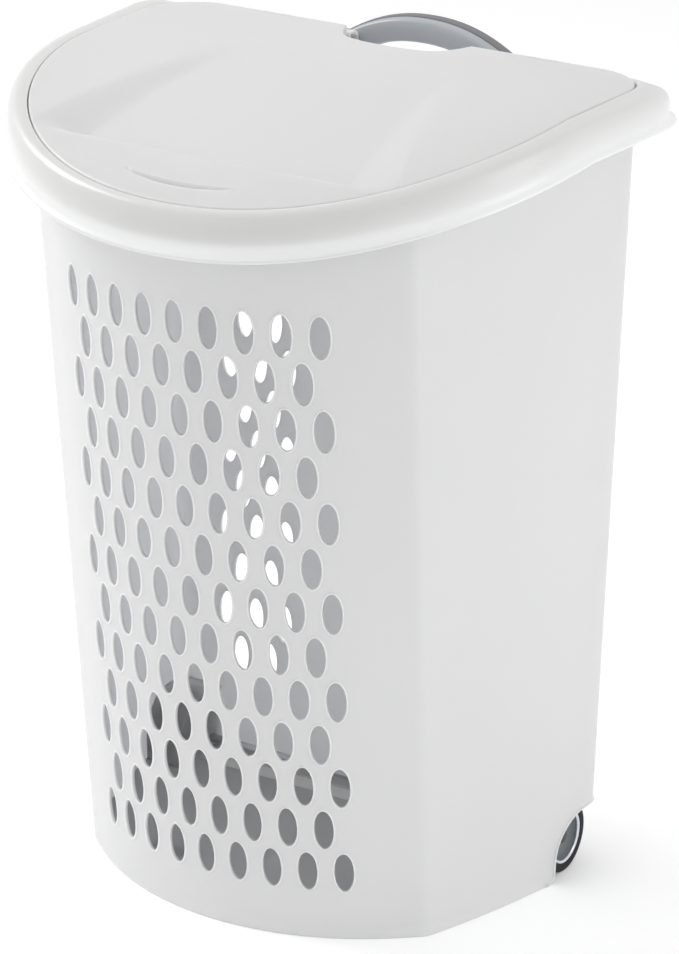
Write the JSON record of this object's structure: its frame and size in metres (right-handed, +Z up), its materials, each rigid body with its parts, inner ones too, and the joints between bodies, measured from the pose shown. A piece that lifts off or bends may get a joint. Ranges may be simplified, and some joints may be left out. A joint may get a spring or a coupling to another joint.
{
  "type": "laundry hamper with lid",
  "caption": "Tall D-shaped plastic laundry hamper with a bowed, oval-perforated front, flip-up lid in a rounded rim frame, rear pull handle and rear wheels.",
  "frame": {"origin": "centre of the bounding box at floor level", "axes": "+Z up, the bowed perforated front faces -Y, the flat back with the handle and wheels faces +Y, +X to the right seen from the front"},
  "size_m": [0.528, 0.4284, 0.706],
  "materials": {
    "white_satin": "satin moulded polypropylene, fine grain",
    "white_gloss": "glossy moulded polypropylene",
    "white_lid": "semi-gloss moulded polypropylene",
    "grey_grip": "semi-gloss blue-grey",
    "grey_shell": "matte warm grey",
    "hub_grey": "satin grey",
    "cap_dark": "satin black",
    "rubber": "matte black",
    "trim_silver": "bright plated ring",
    "steel": "zinc-plated"
  },
  "bodies": {
    "root": {"tub": "white_satin", "rim_frame": "white_gloss", "handle_front_shell": "grey_grip", "handle_rear_shell": "grey_shell", "handle_screw_1": "steel", "handle_screw_2": "steel", "handle_screw_3": "steel", "handle_screw_4": "steel", "hinge_pin_left": "steel", "hinge_pin_right": "steel", "axle": "steel", "axle_cap_left": "cap_dark", "washer_left": "steel", "axle_cap_right": "cap_dark", "washer_right": "steel"},
    "lid": {"lid": "white_lid"},
    "wheel_left": {"wheel_hub_left": "hub_grey", "tyre_left": "rubber", "trim_ring_left": "trim_silver"},
    "wheel_right": {"wheel_hub_right": "hub_grey", "tyre_right": "rubber", "trim_ring_right": "trim_silver"}
  },
  "joints": [
    {"name": "lid_hinge", "type": "hinge", "parent": "root", "child": "lid", "pos_m": [0, 0.17025, 0.6913], "axis": [-1, 0, 0], "range_deg": [0, 100]},
    {"name": "wheel_left_spin", "type": "hinge", "parent": "root", "child": "wheel_left", "pos_m": [-0.19, 0.11625, 0.032], "axis": [1, 0, 0], "continuous": true},
    {"name": "wheel_right_spin", "type": "hinge", "parent": "root", "child": "wheel_right", "pos_m": [0.19, 0.11625, 0.032], "axis": [1, 0, 0], "continuous": true}
  ]
}
